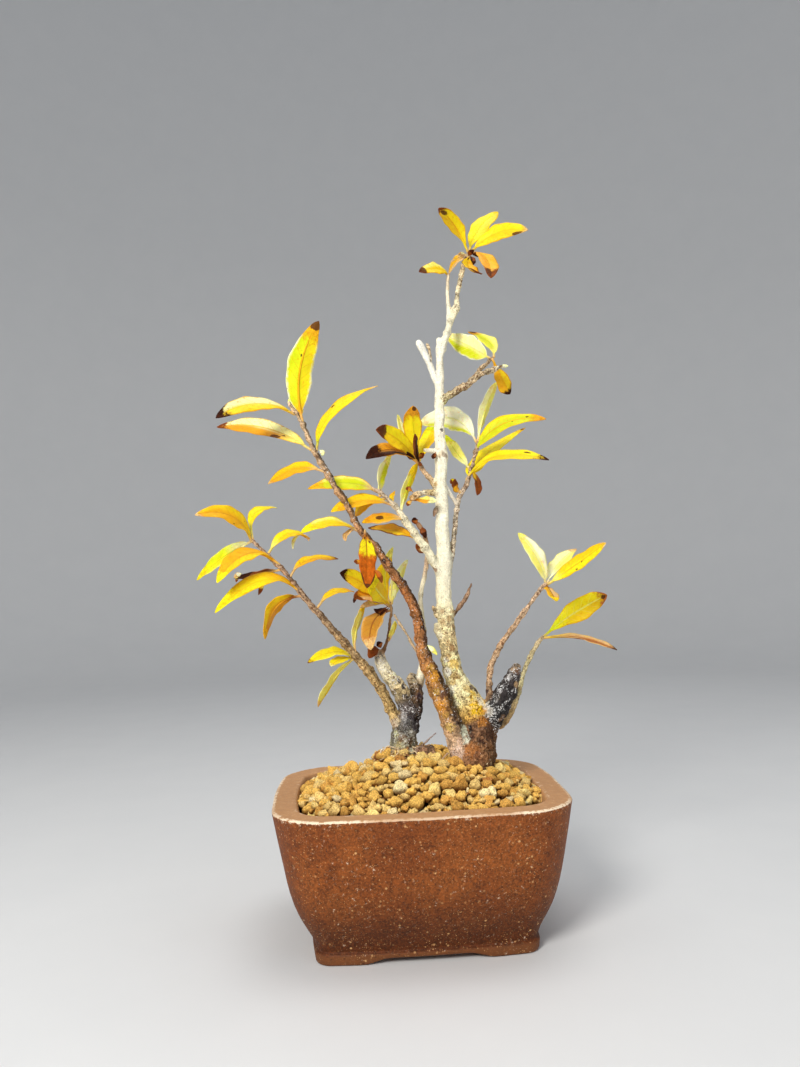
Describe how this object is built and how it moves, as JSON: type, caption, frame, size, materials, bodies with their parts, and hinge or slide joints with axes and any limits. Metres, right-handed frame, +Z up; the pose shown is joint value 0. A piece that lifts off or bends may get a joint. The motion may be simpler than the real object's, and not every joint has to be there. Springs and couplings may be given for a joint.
{
  "type": "chinese buttonbush bonsai in a pot",
  "caption": "Small two-clump Chinese buttonbush bonsai with yellow autumn leaves, in a rounded rectangular stoneware pot filled with akadama grains.",
  "frame": {"origin": "middle of the pot's footprint, on the surface that the pot stands on", "axes": "+Z up, along the trunks; +X along the long side of the pot, to the right when facing its front; the front of the pot faces -Y"},
  "size_m": [0.194, 0.1074, 0.336],
  "materials": {
    "stoneware": "matte",
    "akadama": "matte",
    "bark_left": "matte",
    "bark_right": "matte",
    "dead_wood": "matte",
    "mesh_plastic": "matte",
    "clip_wire": "satin",
    "leaf_yellow": "satin",
    "leaf_gold": "satin",
    "leaf_orange": "satin",
    "leaf_brown": "satin",
    "leaf_pale": "satin",
    "leaf_green": "satin"
  },
  "bodies": {
    "root": {"akadama_soil": "akadama", "dead_stump": "dead_wood", "drain_mesh": "mesh_plastic", "drain_mesh_clip": "clip_wire", "leaf_brown_tip_2": "leaf_pale", "leaf_brown_tip_3": "leaf_pale", "leaf_brown_tip_4": "leaf_yellow", "leaf_brown_tip_5": "leaf_gold", "leaf_brown_tip_pair": "leaf_green", "leaf_brown_trunk_hanging": "leaf_orange", "leaf_brown_trunk_pair": "leaf_yellow", "leaf_crown_1": "leaf_yellow", "leaf_crown_2": "leaf_yellow", "leaf_crown_3": "leaf_gold", "leaf_crown_4": "leaf_orange", "leaf_crown_curled_pair": "leaf_gold", "leaf_crown_side": "leaf_gold", "leaf_inner_1": "leaf_pale", "leaf_inner_2": "leaf_pale", "leaf_inner_3": "leaf_green", "leaf_inner_5": "leaf_gold", "leaf_inner_6": "leaf_gold", "leaf_inner_7": "leaf_orange", "leaf_inner_pair": "leaf_gold", "leaf_lateral_1": "leaf_pale", "leaf_lateral_2": "leaf_pale", "leaf_lateral_3": "leaf_green", "leaf_lateral_pair_lower": "leaf_pale", "leaf_lateral_pair_upper": "leaf_yellow", "leaf_left_end_2": "leaf_green", "leaf_left_end_3": "leaf_gold", "leaf_left_end_4": "leaf_yellow", "leaf_left_end_6": "leaf_yellow", "leaf_left_end_7": "leaf_orange", "leaf_left_end_8": "leaf_yellow", "leaf_left_end_dry": "leaf_brown", "leaf_left_end_pair": "leaf_gold", "leaf_right_low_1": "leaf_yellow", "leaf_right_low_2": "leaf_brown", "leaf_right_shoot_1": "leaf_pale", "leaf_right_shoot_2": "leaf_pale", "leaf_right_shoot_pair": "leaf_yellow", "leaf_spur_1": "leaf_pale", "leaf_spur_2": "leaf_green", "leaf_spur_3": "leaf_orange", "leaf_star_2": "leaf_yellow", "leaf_star_4": "leaf_yellow", "leaf_star_pair_dry": "leaf_orange", "leaf_star_pair_upright": "leaf_yellow", "leaf_tan_branch_1": "leaf_yellow", "leaf_tan_branch_2": "leaf_pale", "leaf_tan_branch_tuft": "leaf_yellow", "leaf_tuft_2": "leaf_yellow", "leaf_tuft_3": "leaf_pale", "leaf_tuft_4": "leaf_yellow", "leaf_tuft_hanging": "leaf_brown", "leaf_tuft_pair": "leaf_yellow", "left_clump": "bark_left", "pot": "stoneware", "right_clump": "bark_right"}
  },
  "joints": []
}
